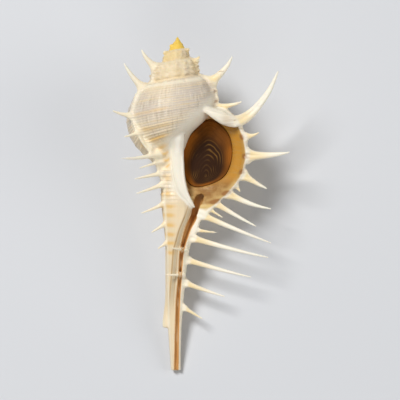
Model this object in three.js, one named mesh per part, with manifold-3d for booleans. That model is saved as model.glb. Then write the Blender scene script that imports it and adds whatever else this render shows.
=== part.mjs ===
// A spiny murex shell with the horny lid that closes its aperture, lying on its back with the aperture up.
// Millimetres, +Z up. The shell grows as a log spiral: each whorl is the one before it, turned and enlarged
// about the apex. Three varices on each whorl, where growth paused, carry a crest and a row of spines.
import * as THREE from 'three';
import { LoftGeometry } from 'three/addons/geometries/LoftGeometry.js';
import { mergeVertices } from 'three/addons/utils/BufferGeometryUtils.js';
import Module from 'manifold-3d';

const wasm = await Module();
wasm.setup();

// Driving dimensions. The shell is laid out with its apex at the origin and its axis down -Z, the outer lip
// towards +X and the aperture facing -Y. "Back" is how many degrees of growth a place lies before the lip.
const shellLength = 100;
const growthPerWhorl = 1.85;
const turns = 6;
const lipBearing = -20;
const varixBacks = { lip: 4, dorsal: 120, left: 225 };
const varixSwell = 0.05;
const lipSwell = 0.02;
const varixHalfWidth = 7;
const apexRadius = 0.5;
const columellaTaper = 0.045;
const plugLength = 4;
const lidThickness = 1.0;
const lidGap = 0.45;
const lidBack = 11;

// How the shell lies: the bearing that ends up underneath, and how far its canal end dips. It rests on the
// body whorl, a spine of the dorsal varix and the tip of the canal.
const restBearing = 80.6;
const restDip = 13.85;

// The whorl's outline at the lip, from inside the suture to the start of the canal, as distance from the
// axis and height below the apex.
const whorlOutline = new THREE.SplineCurve([
  new THREE.Vector2(9.4, -20.6),
  new THREE.Vector2(12.4, -21.1),
  new THREE.Vector2(15.6, -22.4),
  new THREE.Vector2(18.3, -25.1),
  new THREE.Vector2(20.8, -30.3),
  new THREE.Vector2(21.6, -35.0),
  new THREE.Vector2(20.5, -41.0),
  new THREE.Vector2(16.8, -46.2),
  new THREE.Vector2(8.6, -53.0),
  new THREE.Vector2(4.6, -61.0),
]);

// The lid's outline and the rim of the aperture, point for point, in the same distances.
const lidOutline = [
  [10.1, -25.2], [15.2, -29.4], [16.2, -36.0], [13.5, -42.0],
  [5.8, -44.6], [2.5, -41.0], [2.4, -34.0], [5.4, -28.4],
];
const rimOutline = [
  [10.0, -22.8], [18.0, -26.8], [20.7, -34.4], [18.6, -42.4],
  [9.5, -50.0], [2.8, -45.0], [2.0, -36.5], [5.0, -28.5],
];

// The crest of a varix at the size of the lip, in the same distances, the left one's, which is full down
// to the canal, and half the thickness.
const crestOutline = [
  [9.5, -20.4], [14.0, -21.0], [17.4, -23.1], [20.3, -26.4], [21.9, -30.5], [22.5, -35.0], [20.9, -41.3],
  [16.9, -46.6], [9.3, -53.2], [5.2, -60.0], [3.0, -58.0], [6.0, -40.0], [6.0, -25.0],
];
const leftCrestOutline = [
  [9.5, -20.4], [14.0, -20.7], [17.8, -22.6], [20.4, -26.0], [21.9, -30.5], [22.6, -35.0], [21.6, -41.3],
  [18.6, -47.4], [13.0, -53.6], [10.0, -59.5], [6.5, -67.0], [3.0, -58.0], [6.0, -40.0], [6.0, -25.0],
];
const crestHalf = 0.85;
const crestWhorls = 2;

// The upper end of the outer lip, which runs on along the suture: degrees behind the lip, the outer edge's
// distance from the axis and the thickness there.
const ledgeSections = [
  { back: 10, outer: 19.0, thick: 2.2 },
  { back: 0, outer: 18.6, thick: 2.2 },
  { back: -5, outer: 17.2, thick: 1.9 },
  { back: -10, outer: 15.7, thick: 1.7 },
  { back: -22, outer: 13.0, thick: 1.4 },
  { back: -36, outer: 11.0, thick: 0.6 },
];

// The spines of a varix at the size of the lip, from the shoulder to the end of the canal: height of the
// root below the apex, the tip's distance from the axis and height below the apex, degrees of curl up from
// root to middle, and width at the root.
const spineRows = {
  whole: [
    { below: 25.6, tip: [31.8, 10.6], curl: 20.5, width: 4.0 },
    { below: 30.2, tip: [25.6, 28.9], curl: 20, width: 1.7 },
    { below: 35.9, tip: [35.1, 34.9], curl: 8, width: 3.2 },
    { below: 41.8, tip: [28.1, 45.9], curl: 5, width: 2.4 },
    { below: 45.0, tip: [19.7, 46.9], curl: 0, width: 1.1 },
    { below: 47.3, tip: [29.5, 51.9], curl: 12, width: 2.3 },
    { below: 50.2, tip: [24.7, 57.2], curl: 3, width: 1.9 },
    { below: 51.9, tip: [14.4, 54.6], curl: 3, width: 1.1 },
    { below: 53.9, tip: [29.4, 62.2], curl: 2, width: 2.0 },
    { below: 58.2, tip: [12.6, 59.0], curl: 6, width: 1.2 },
    { below: 60.7, tip: [28.6, 66.5], curl: 3, width: 2.0 },
    { below: 67.3, tip: [23.2, 72.4], curl: 3, width: 1.9 },
    { below: 74.2, tip: [15.0, 78.3], curl: 3, width: 1.8 },
    { below: 81.6, tip: [8.0, 85.2], curl: -3, width: 1.4 },
  ],
  // The last whorl's left varix, whose row reaches further down the canal and turns to the front on the
  // way.
  left: [
    { below: 22.8, tip: [25.8, 11.9], curl: 13, width: 3.2, turn: 0 },
    { below: 34.9, tip: [31.4, 32.7], curl: 12, width: 2.1, turn: 0 },
    { below: 42.4, tip: [27.9, 44.3], curl: 6, width: 1.7, turn: 8 },
    { below: 51.5, tip: [30.6, 53.6], curl: 10, width: 2.2, turn: 12 },
    { below: 54.6, tip: [20.6, 58.0], curl: 0, width: 1.7, turn: 10 },
    { below: 59.9, tip: [22.1, 62.7], curl: 0, width: 2.0, turn: 6 },
    { below: 64.9, tip: [20.5, 69.0], curl: 3, width: 1.9, turn: 3 },
    { below: 73.7, tip: [18.1, 77.8], curl: 3, width: 1.7, turn: 0 },
    { below: 82.4, tip: [12.9, 86.2], curl: 0, width: 1.6, turn: 0 },
    { below: 90.6, tip: [9.8, 93.4], curl: 0, width: 1.4, turn: 0 },
  ],
  // What stands clear of the next whorl on the spire.
  spire: [
    { below: 25.5, tip: [31.9, 10.7], curl: 21, width: 4.2 },
    { below: 39.3, tip: [37.7, 36.2], curl: 14, width: 3.2 },
  ],
};
// The lip's shoulder spine, a flat horn that starts on the ledge: bearing, distance from the axis, height
// below the apex, half width and half thickness.
const hornSections = [
  { bearing: -52, distance: 11.0, below: 21.9, half: 0.3, thick: 0.25 },
  { bearing: -37, distance: 14.4, below: 23.9, half: 1.3, thick: 0.75 },
  { bearing: -29, distance: 16.6, below: 25.1, half: 1.75, thick: 1.0 },
  { bearing: -22, distance: 19.3, below: 25.4, half: 1.8, thick: 1.1 },
  { bearing: -17, distance: 22.3, below: 23.6, half: 1.5, thick: 1.0 },
  { bearing: -16, distance: 25.6, below: 20.2, half: 1.15, thick: 0.85 },
  { bearing: -16, distance: 28.7, below: 15.9, half: 0.8, thick: 0.65 },
  { bearing: -16, distance: 31.2, below: 10.6, half: 0.3, thick: 0.3 },
];

// Two small spines on the canal that lean across its slit: height of the root below the apex, and where
// the tip is as distance to the lip's side, distance towards the aperture's side and height below the
// apex.
const slitSpines = [
  { below: 64.0, tip: [-1.7, 7.0, 63.2], width: 1.4 },
  { below: 71.2, tip: [-3.4, 5.0, 71.3], width: 1.3 },
];
const spineTipRadius = 0.3;
// How much of each spine is left, whorl by whorl from the last. A row's last number holds for the rest of
// it.
const leftOver = {
  lip: [[1], [1], [0.38, 0], [0.3, 0]],
  dorsal: [[0.85, 0.5, 0.1, 0.1, 0.28], [0.85, 0.6], [0.5, 0], [0.3, 0]],
  left: [[1], [1.03, 0.6], [0.3, 0], [0.3, 0]],
};

// The canal's sections: height below the apex, half width and how far its middle lies to the lip's side.
const canalSections = [
  { below: 28, half: 2.2, offset: -0.6 },
  { below: 36, half: 3.6, offset: -1.4 },
  { below: 42, half: 3.8, offset: -1.5 },
  { below: 46, half: 4.2, offset: -0.8 },
  { below: 50, half: 4.9, offset: 0 },
  { below: 58, half: 4.4, offset: 0.4 },
  { below: 66, half: 3.3, offset: -0.1 },
  { below: 76, half: 2.65, offset: -0.55 },
  { below: 88, half: 2.0, offset: -0.8 },
  { below: shellLength, half: 1.45, offset: -0.5 },
];
const canalDepth = 0.9;

// The slit that opens the canal towards the aperture's side: height below the apex, distance to the lip's
// side, half width and depth.
const slitSections = [
  { below: 46.6, across: 7.6, half: 0.9, deep: 0.5 },
  { below: 47.6, across: 7.2, half: 1.6, deep: 1.2 },
  { below: 49.0, across: 6.5, half: 1.75, deep: 1.8 },
  { below: 51.0, across: 5.7, half: 1.4, deep: 2.1 },
  { below: 53.6, across: 4.9, half: 1.15, deep: 2.0 },
  { below: 58.0, across: 3.05, half: 0.88, deep: 1.8 },
  { below: 64.0, across: 1.35, half: 0.52, deep: 1.7 },
  { below: 70.0, across: 0.9, half: 0.45, deep: 1.5 },
  { below: 81.0, across: 0.1, half: 0.5, deep: 1.3 },
  { below: 92.0, across: -0.2, half: 0.5, deep: 1.1 },
  { below: 101.0, across: -0.35, half: 0.6, deep: 1.0 },
];

// The columellar lip, a raised band on the aperture's inner side: height below the apex, distance to the
// lip's side, how far it stands out on the aperture's side, half width and half thickness.
const innerLipSections = [
  { below: 27.5, across: 0.9, forward: 8.2, half: 0.7, thick: 0.4 },
  { below: 30.5, across: 0.3, forward: 6.9, half: 1.9, thick: 0.9 },
  { below: 34.5, across: 0.0, forward: 4.6, half: 2.0, thick: 1.0 },
  { below: 38.7, across: 0.2, forward: 4.0, half: 1.9, thick: 1.0 },
  { below: 42.9, across: 0.8, forward: 3.9, half: 1.7, thick: 1.0 },
  { below: 46.7, across: 1.9, forward: 3.9, half: 1.5, thick: 0.9 },
  { below: 49.5, across: 3.7, forward: 3.2, half: 1.0, thick: 0.7 },
  { below: 51.2, across: 5.0, forward: 2.6, half: 0.4, thick: 0.4 },
];

// The dorsal varix on the canal, down to the end that the canal had when that varix was the lip: height
// below the apex, bearing, distance from the axis and half width.
const canalRidge = [
  { below: 40, bearing: 100, distance: 6.0, half: 2.2 },
  { below: 48, bearing: 106, distance: 3.6, half: 2.3 },
  { below: 58, bearing: 120, distance: 3.0, half: 2.2 },
  { below: 68, bearing: 138, distance: 2.7, half: 1.7 },
  { below: 78, bearing: 158, distance: 2.7, half: 1.3 },
  { below: 85, bearing: 172, distance: 3.0, half: 1.5 },
  { below: 87.2, bearing: 175, distance: 3.2, half: 1.3 },
];

const radians = THREE.MathUtils.degToRad;
const loft = (rings) =>
  new THREE.BufferGeometry().copy(new LoftGeometry(rings, { capStart: true, capEnd: true }));
const growth = (back) => growthPerWhorl ** (-back / 360);

// A point at a distance from the axis and a height, on the half plane through the axis at a bearing.
function onBearing(bearing, distance, z) {
  return new THREE.Vector3(distance * Math.cos(radians(bearing)), distance * Math.sin(radians(bearing)), z);
}

// The solid of a closed geometry, its faces turned outwards.
function solidOf(geometry) {
  geometry.deleteAttribute('normal');
  geometry.deleteAttribute('uv');
  const merged = mergeVertices(geometry, 1e-4);
  const vertProperties = merged.attributes.position.array;
  const triVerts = new Uint32Array(merged.index.array);
  const solid = new wasm.Manifold(new wasm.Mesh({ numProp: 3, vertProperties, triVerts }));
  if (solid.volume() > 0) return solid;
  for (let i = 0; i < triVerts.length; i += 3)
    [triVerts[i], triVerts[i + 1]] = [triVerts[i + 1], triVerts[i]];
  return new wasm.Manifold(new wasm.Mesh({ numProp: 3, vertProperties, triVerts }));
}

function geometryOf(solid) {
  const mesh = solid.getMesh();
  const geometry = new THREE.BufferGeometry();
  geometry.setAttribute('position', new THREE.BufferAttribute(new Float32Array(mesh.vertProperties), 3));
  geometry.setIndex(new THREE.BufferAttribute(new Uint32Array(mesh.triVerts), 1));
  return geometry;
}

// How far a place on the spiral is swollen by the nearest varix, from 0 to 1.
function varixAt(back) {
  const within = ((back % 360) + 360) % 360;
  const away = Object.values(varixBacks).flatMap((v) => [within - v, within - v - 360, within - v + 360]);
  const nearest = Math.min(...away.map(Math.abs));
  return Math.exp(-((nearest / varixHalfWidth) ** 2));
}

// The whorl's section at a place on the spiral: the outline, then back up inside the columella.
function whorlRing(back, detail) {
  const size = growth(back);
  const swell = 1 + (back < 30 ? lipSwell : varixSwell) * varixAt(back);
  const bearing = lipBearing + back;
  const outline = whorlOutline.getPoints(detail).map((p, i) => {
    const shoulder = Math.min(1, i / 2);
    return onBearing(bearing, p.x * size * (1 + (swell - 1) * shoulder), p.y * size);
  });
  const inside = [-55, -36, -24].map((z) => onBearing(bearing, apexRadius * size, z * size));
  return [...outline, ...inside];
}

// The places of the sections along the spiral, close together where a varix stands.
function sectionBacks() {
  const backs = [];
  for (let whorl = 0; whorl < turns; whorl++) {
    const marks = [...Object.values(varixBacks), varixBacks.lip + 360];
    const fine = whorl < 2;
    for (let k = 0; k < 3; k++) {
      const gap = marks[k + 1] - marks[k];
      const steps = fine
        ? [0, 4.5, 9.5, 18, 34, gap * 0.5, gap - 34, gap - 18, gap - 9.5, gap - 4.5]
        : [0, 8, gap * 0.3, gap * 0.6, gap - 8];
      steps.forEach((s) => backs.push(whorl * 360 + marks[k] + s));
    }
  }
  return [0, ...backs.filter((b) => b > 1)];
}

// The whorls, in runs of under half a turn so that no run meets itself.
function whorls() {
  const backs = sectionBacks();
  const longestRun = 150;
  const runs = [];
  let start = 0;
  while (start < backs.length - 1) {
    let end = start + 1;
    while (end + 1 < backs.length && backs[end + 1] - backs[start] <= longestRun) end++;
    const detail = backs[start] < 360 ? 15 : 11;
    const rings = backs.slice(start, end + 1).map((b) => whorlRing(b, detail));
    runs.push(solidOf(loft([...rings, plugRing(whorlRing(backs[end] + plugLength, detail))])));
    start = end;
  }
  return runs;
}

// A section drawn in towards its middle: a run ends in it, inside the older run that it joins.
function plugRing(ring) {
  const middle = new THREE.Vector3();
  ring.forEach((p) => middle.addScaledVector(p, 1 / ring.length));
  return ring.map((p) => p.clone().lerp(middle, 0.2));
}

function columella() {
  const foot = 60;
  const profile = [[0, 0], [apexRadius, -1.2], [foot * columellaTaper, -foot], [0, -foot]];
  const lathe = new THREE.LatheGeometry(profile.map(([x, y]) => new THREE.Vector2(x, y)), 10);
  return solidOf(lathe.rotateX(Math.PI / 2));
}

// How far the shell's surface lies from the axis at a height, at the size that it had at the lip.
function outlineDistance(below) {
  const points = whorlOutline.getPoints(60);
  const found = points.find((p) => -p.y >= below);
  if (found) return found.x;
  const next = canalSections.findIndex((s) => s.below > below);
  const [a, b] = [canalSections[next - 1], canalSections[next]];
  return THREE.MathUtils.mapLinear(below, a.below, b.below, a.half + a.offset, b.half + b.offset);
}

// How far the canal's surface lies from the axis at a height and a bearing.
function canalReach(below, bearing) {
  const next = Math.max(1, canalSections.findIndex((s) => s.below > below));
  const [a, b] = [canalSections[next - 1], canalSections[next]];
  const mix = (key) => THREE.MathUtils.mapLinear(below, a.below, b.below, a[key], b[key]);
  return mix('offset') * Math.cos(radians(bearing)) + mix('half') * 0.95;
}

// A round spine that tapers along an arc.
function taperedAlong(arc, across, rootRadius, long) {
  const taper = new THREE.CylinderGeometry(1, 1, 1, long ? 6 : 5, long ? 4 : 2);
  const place = taper.attributes.position;
  for (let i = 0; i < place.count; i++) {
    const along = place.getY(i) + 0.5;
    const radius = THREE.MathUtils.lerp(rootRadius, Math.min(spineTipRadius, rootRadius), along ** 0.9);
    const over = new THREE.Vector3().crossVectors(across, arc.getTangent(along)).normalize();
    const middle = arc.getPoint(along);
    middle.addScaledVector(across, place.getX(i) * radius).addScaledVector(over, place.getZ(i) * radius);
    place.setXYZ(i, middle.x, middle.y, middle.z);
  }
  return solidOf(taper);
}

// One spine, bent up or down in the plane of its varix.
function spine({ below, tip, curl, width, turn = 0 }, back, worn) {
  const size = growth(back);
  const bearing = lipBearing + back + turn;
  const onWhorl = outlineDistance(below) * (1 + varixSwell * 0.5);
  const onCanal = back === varixBacks.left ? canalReach(below * size, bearing) / size : 0;
  const distance = Math.max(onWhorl, onCanal);
  const run = new THREE.Vector2(tip[0] - distance, below - tip[1]).multiplyScalar(size * worn);
  const reach = run.length();
  const rise = run.angle();
  const root = onBearing(bearing, distance * size, -below * size);
  const outwards = onBearing(bearing, 1, 0);
  const up = new THREE.Vector3(0, 0, 1);
  const towards = (angle) =>
    outwards.clone().multiplyScalar(Math.cos(angle)).addScaledVector(up, Math.sin(angle));
  const leaving = rise - radians(curl);
  const rootRadius = 0.5 * width * Math.sqrt(size * worn);
  const buried = Math.min(rootRadius + 0.8, distance * size * 0.6);
  const arc = new THREE.QuadraticBezierCurve3(
    root.clone().addScaledVector(towards(leaving), -buried),
    root.clone().addScaledVector(towards(leaving), reach / (2 * Math.cos(radians(curl)))),
    root.clone().addScaledVector(towards(rise), reach),
  );
  return taperedAlong(arc, new THREE.Vector3().crossVectors(outwards, up), rootRadius, reach > 6);
}

function slitSpine({ below, tip, width }) {
  const root = new THREE.Vector3(outlineDistance(below) * 0.75, -1.2, -below);
  const end = new THREE.Vector3(tip[0], -tip[1], -tip[2]);
  const middle = root.clone().lerp(end, 0.5).add(new THREE.Vector3(0.8, -0.8, 0));
  const arc = new THREE.QuadraticBezierCurve3(root, middle, end);
  return taperedAlong(arc, new THREE.Vector3(0, 0, 1), width / 2, false);
}

// The horn, a chain of ellipses across its own line.
function horn() {
  const line = hornSections.map(({ bearing, distance, below }) => onBearing(bearing, distance, -below));
  const sides = 8;
  const rings = hornSections.map(({ bearing, half, thick }, i) => {
    const along = line[Math.min(i + 1, line.length - 1)].clone().sub(line[Math.max(i - 1, 0)]).normalize();
    const over = onBearing(bearing - 90, 1, 0).cross(along).normalize();
    const facing = along.clone().cross(over);
    return Array.from({ length: sides }, (_, k) => {
      const a = radians((360 * k) / sides);
      const off = over.clone().multiplyScalar(half * Math.cos(a));
      return off.addScaledVector(facing, thick * Math.sin(a)).add(line[i]);
    });
  });
  return solidOf(loft(rings));
}

// Every varix's spines. The lip's are whole, with the horn in place of the first, and older ones are worn.
function spines() {
  const made = [];
  for (const [name, whorlsBack] of Object.entries(leftOver))
    whorlsBack.forEach((remains, whorl) => {
      const row = whorl > 0 ? spineRows.spire : name === 'left' ? spineRows.left : spineRows.whole;
      row.forEach((one, k) => {
        const worn = remains[Math.min(k, remains.length - 1)];
        const isHorn = whorl === 0 && name === 'lip' && k === 0;
        if (worn > 0 && !isHorn) made.push(spine(one, whorl * 360 + varixBacks[name], worn));
      });
    });
  return made;
}

// How far the left varix has turned to the front at a height.
function leftTurn(below) {
  const row = spineRows.left;
  const next = THREE.MathUtils.clamp(row.findIndex((s) => s.below > below), 1, row.length - 1);
  const [a, b] = [row[next - 1], row[next]];
  const share = THREE.MathUtils.clamp((below - a.below) / (b.below - a.below), 0, 1);
  return THREE.MathUtils.lerp(a.turn, b.turn, share);
}

// The crests of the varices, thin plates along their bearings.
function crests() {
  const made = [];
  for (const place of Object.values(varixBacks))
    for (let whorl = 0; whorl < crestWhorls; whorl++) {
      const back = whorl * 360 + place;
      const size = growth(back);
      const aside = onBearing(lipBearing + back + 90, crestHalf * size, 0);
      const isLeft = back === varixBacks.left;
      const outline = isLeft ? leftCrestOutline : crestOutline;
      const middle = outline.map(([r, z]) =>
        onBearing(lipBearing + back + (isLeft ? leftTurn(-z) : 0), r * size, z * size),
      );
      const faces = [-1, 1].map((side) => middle.map((p) => p.clone().addScaledVector(aside, side)));
      made.push(solidOf(loft(faces)));
    }
  return made;
}

// The ledge: the whorl's outline as far as the outer edge, and the same line lower down.
function ledge() {
  const outline = whorlOutline.getPoints(60);
  const steps = 5;
  const rings = ledgeSections.map(({ back, outer, thick }) => {
    const top = Array.from({ length: steps + 1 }, (_, i) => {
      const x = THREE.MathUtils.lerp(9.6, outer, i / steps);
      return [x, outline.find((p) => p.x >= x).y - 0.15];
    });
    const bottom = top.map(([x, y], i) => (i === steps ? [x - 0.1 * thick, y - 0.75 * thick]
      : [x - 0.35 * thick, y - thick])).reverse();
    return [...top, ...bottom].map(([x, y]) => onBearing(lipBearing + back, x, y));
  });
  return solidOf(loft(rings.reverse()));
}

// A solid through level ellipses: the middle of each, its half width across and its half depth.
function stackedEllipses(sections, sides) {
  const rings = sections.map(({ middle, half, depth }) =>
    Array.from({ length: sides }, (_, i) => {
      const angle = (i / sides) * 2 * Math.PI;
      return new THREE.Vector3(half * Math.cos(angle), depth * Math.sin(angle), 0).add(middle);
    }),
  );
  return solidOf(loft(rings.reverse()));
}

function canal() {
  return stackedEllipses(canalSections.map(({ below, half, offset }) =>
    ({ middle: new THREE.Vector3(offset, 0, -below), half, depth: half * canalDepth })), 12);
}

// The canal's surface on the aperture's side, as y, at a height and a distance to the lip's side.
function canalFront(below, across) {
  const after = canalSections.findIndex((s) => s.below >= below);
  const b = canalSections[after < 0 ? canalSections.length - 1 : after];
  const a = canalSections[after < 0 ? canalSections.length - 2 : Math.max(0, after - 1)];
  const mix = (key) =>
    a === b ? a[key] : THREE.MathUtils.mapLinear(below, a.below, b.below, a[key], b[key]);
  const off = (across - mix('offset')) / mix('half');
  return -mix('half') * canalDepth * Math.sqrt(Math.max(0.05, 1 - off * off));
}

function slit() {
  return stackedEllipses(slitSections.map(({ below, across, half, deep }) =>
    ({ middle: new THREE.Vector3(across, canalFront(below, across), -below), half, depth: deep })), 8);
}

function innerLip() {
  return stackedEllipses(innerLipSections.map(({ below, across, forward, half, thick }) =>
    ({ middle: new THREE.Vector3(across, -forward, -below), half, depth: thick })), 8);
}

function ridge() {
  return stackedEllipses(canalRidge.map(({ below, bearing, distance, half }) =>
    ({ middle: onBearing(bearing, distance, -below), half, depth: half })), 8);
}

// The loop through an outline's points, at a bearing and a size.
function outlineLoop(points, bearing, size) {
  const flat = new THREE.CatmullRomCurve3(points.map(([x, z]) => new THREE.Vector3(x, 0, z)), true);
  const loop = flat.getPoints(24).slice(0, -1);
  return loop.map((p) => onBearing(bearing, p.x * size, p.z * size));
}

// The outline between the rim and the lid's seat, grown all round by a gap.
function throatOutline(inwards, gap) {
  const middle = [9, -35];
  return lidOutline.map((p, i) => {
    const mixed = p.map((value, k) => THREE.MathUtils.lerp(rimOutline[i][k], value, inwards));
    const length = Math.hypot(mixed[0] - middle[0], mixed[1] - middle[1]);
    return mixed.map((value, k) => value + (gap * (value - middle[k])) / length);
  });
}

// The hollow behind the rim: a throat down to the lid's seat, then the chamber that winds back and narrows.
function chamber() {
  const rings = [
    { back: -5, inwards: -0.35, size: 1 },
    { back: 0, inwards: 0, size: 1 },
    { back: 5, inwards: 0.55, size: 1 },
    { back: lidBack - 3, inwards: 1, size: 1 },
    { back: lidBack + 9, inwards: 1, size: 1 },
    { back: 45, inwards: 1, size: 0.9 },
    { back: 80, inwards: 1, size: 0.78 },
    { back: 110, inwards: 1, size: 0.6 },
  ];
  return solidOf(loft(rings.map(({ back, inwards, size }) =>
    outlineLoop(throatOutline(inwards, lidGap), lipBearing + back, size),
  )));
}

function lid() {
  const half = THREE.MathUtils.radToDeg(lidThickness / 2 / 9);
  return solidOf(loft([-half, half].map((d) => outlineLoop(lidOutline, lipBearing + lidBack + d, 1))));
}

const joined = (solids) => solids.reduce((whole, piece) => whole.add(piece));
const shell = joined([...whorls(), columella(), canal(), ridge(), ledge(), ...crests(), ...spines()])
  .subtract(chamber())
  .subtract(slit())
  .add(joined([innerLip(), horn(), ...slitSpines.map(slitSpine)]));

const part = new THREE.Group();
const shellMesh = new THREE.Mesh(
  geometryOf(shell),
  new THREE.MeshStandardMaterial({ color: 0xe6d8b8, roughness: 0.55, metalness: 0 }),
);
shellMesh.name = 'shell';
const lidMesh = new THREE.Mesh(
  geometryOf(lid()),
  new THREE.MeshStandardMaterial({ color: 0x4a2412, roughness: 0.45, metalness: 0 }),
);
lidMesh.name = 'operculum';
const upwards = onBearing(restBearing, -Math.cos(radians(restDip)), Math.sin(radians(restDip)));
const towardsApex = new THREE.Vector3(0, 0, 1).addScaledVector(upwards, -upwards.z).normalize();
const sideways = new THREE.Vector3().crossVectors(upwards, towardsApex);
const lying = new THREE.Group();
const turn = new THREE.Matrix4().makeBasis(towardsApex, sideways, upwards).transpose();
lying.quaternion.setFromRotationMatrix(turn);
lying.add(shellMesh, lidMesh);
lying.updateMatrixWorld(true);
const reach = new THREE.Box3().setFromObject(lying, true);
lying.position.copy(reach.getCenter(new THREE.Vector3()).setZ(reach.min.z).negate());
part.add(lying);

export default part;
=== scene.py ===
import math

import bpy
import numpy as np
from mathutils import Matrix, Vector, noise
from mathutils.bvhtree import BVHTree


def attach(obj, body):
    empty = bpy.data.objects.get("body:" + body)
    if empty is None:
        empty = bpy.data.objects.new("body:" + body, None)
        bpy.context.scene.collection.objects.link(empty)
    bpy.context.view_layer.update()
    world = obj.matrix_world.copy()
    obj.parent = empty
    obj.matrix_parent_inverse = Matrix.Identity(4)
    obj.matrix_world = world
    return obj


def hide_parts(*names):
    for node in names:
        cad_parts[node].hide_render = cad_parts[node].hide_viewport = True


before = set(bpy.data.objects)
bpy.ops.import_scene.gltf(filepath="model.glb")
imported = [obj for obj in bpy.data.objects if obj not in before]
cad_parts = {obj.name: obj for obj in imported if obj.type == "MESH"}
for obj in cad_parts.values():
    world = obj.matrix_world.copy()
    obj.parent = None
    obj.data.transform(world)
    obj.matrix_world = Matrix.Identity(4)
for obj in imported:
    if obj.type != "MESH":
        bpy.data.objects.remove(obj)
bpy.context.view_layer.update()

print("murex: frame loaded")

# the shell is made in millimetres with its apex at the origin and its axis down -Z, the lip towards +X
# and the aperture facing -Y, and is laid down at the end
rest = {
    "bearing": 80.6,  # the side that ends up underneath
    "dip": 13.85,  # how far the canal end dips
    "apexAt": (48.70654, 8.42778, 25.10884),
}
growth = {
    "perWhorl": 1.85,
    "turns": 6,
    "stepsPerWhorl": 60,
    "lipBearing": -20.0,
    "varixBacks": {"lip": 4.0, "dorsal": 120.0, "left": 225.0},
    "varixSwell": 0.05,
    "varixHalfWidth": 6.5,
}


def sizeAt(back):
    return growth["perWhorl"] ** (-back / 360.0)


def onBearing(bearing, distance, height):
    a = math.radians(bearing)
    return Vector((distance * math.cos(a), distance * math.sin(a), height))


def layingDown():
    dip = math.radians(rest["dip"])
    upwards = onBearing(rest["bearing"], -math.cos(dip), math.sin(dip))
    towardsApex = Vector((0, 0, 1)) - upwards * upwards.z
    towardsApex.normalize()
    sideways = upwards.cross(towardsApex)
    turn = Matrix((towardsApex, sideways, upwards)).to_4x4()
    return Matrix.Scale(0.001, 4) @ Matrix.Translation(Vector(rest["apexAt"])) @ turn


laidDown = layingDown()

# camera, floor and light
view = {
    "target": (6.75, 0.0, -48.9),  # millimetres on the shell
    "distance": 1.0,
    "frameWidth": 0.120,
    "sensor": 36.0,
}


def setCamera():
    turn = laidDown.to_3x3() * 1000.0
    towardsViewer = (turn @ Vector((0, -1, 0))).normalized()
    imageUp = (turn @ Vector((0, 0, 1))).normalized()
    imageRight = (turn @ Vector((1, 0, 0))).normalized()
    target = laidDown @ Vector(view["target"])
    bpy.ops.object.camera_add(location=target + towardsViewer * view["distance"])
    camera = bpy.context.object
    facing = Matrix((imageRight, imageUp, towardsViewer)).transposed().to_4x4()
    camera.matrix_world = Matrix.Translation(camera.location) @ facing
    camera.data.sensor_width = view["sensor"]
    camera.data.lens = view["sensor"] * view["distance"] / view["frameWidth"]
    camera.data.clip_end = 20.0
    bpy.context.scene.camera = camera
    return target, imageRight, imageUp, towardsViewer


lookAt, imageRight, imageUp, towardsViewer = setCamera()
print("murex: camera set")

studio = {
    "floor": (0.62, 0.63, 0.65),
    "lights": [  # right, up, towards the viewer, size, watts
        (-0.50, 0.55, 0.75, 0.40, 9.8),
        (0.75, 0.05, 0.60, 0.60, 2.6),
        (0.0, -0.65, 0.60, 0.60, 1.9),
    ],
    "sky": (0.97, 0.98, 1.0),
    "skyStrength": 0.15,
}


def setStudio():
    bpy.ops.object.select_all(action="DESELECT")
    bpy.ops.mesh.primitive_plane_add(size=6.0, location=(0, 0, 0))
    floor = bpy.context.object
    floor.name = "floor"
    paint = bpy.data.materials.new("floorPaper")
    paint.use_nodes = True
    shader = paint.node_tree.nodes["Principled BSDF"]
    shader.inputs["Base Color"].default_value = (*studio["floor"], 1.0)
    shader.inputs["Roughness"].default_value = 0.85
    floor.data.materials.append(paint)
    for right, up, out, size, watts in studio["lights"]:
        place = lookAt + imageRight * right + imageUp * up + towardsViewer * out
        bpy.ops.object.light_add(type="AREA", location=place)
        light = bpy.context.object
        light.data.shape = "DISK"
        light.data.size = size
        light.data.energy = watts
        light.rotation_euler = (lookAt - place).to_track_quat("-Z", "Y").to_euler()
    world = bpy.context.scene.world or bpy.data.worlds.new("studio")
    bpy.context.scene.world = world
    world.use_nodes = True
    sky = world.node_tree.nodes["Background"]
    sky.inputs["Color"].default_value = (*studio["sky"], 1.0)
    sky.inputs["Strength"].default_value = studio["skyStrength"]
    bpy.context.scene.view_settings.view_transform = "Standard"  # colours show as they are mixed


setStudio()
print("murex: studio set")


# modelling helpers
def clearSelection():
    if bpy.context.mode != "OBJECT":
        bpy.ops.object.mode_set(mode="OBJECT")
    bpy.ops.object.select_all(action="DESELECT")


def pick(*pieces):
    clearSelection()
    for piece in pieces:
        piece.select_set(True)
    bpy.context.view_layer.objects.active = pieces[0]


def startRing(name, points):
    clearSelection()
    bpy.ops.mesh.primitive_circle_add(vertices=len(points), radius=1.0, fill_type="NGON", location=(0, 0, 0))
    piece = bpy.context.object
    piece.name = name
    piece.data.vertices.foreach_set("co", np.asarray(points, float).ravel())
    bpy.ops.object.mode_set(mode="EDIT")
    bpy.ops.mesh.select_all(action="SELECT")
    return piece


def nextRing(move=(0, 0, 0), turn=0.0, scale=None, about=(0, 0, 0)):
    bpy.ops.mesh.extrude_region_move(TRANSFORM_OT_translate={"value": tuple(move)})
    if turn:
        bpy.ops.transform.rotate(value=-math.radians(turn), orient_axis="Z", center_override=(0, 0, 0))
    if scale:
        bpy.ops.transform.resize(value=scale, center_override=tuple(about))


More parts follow.
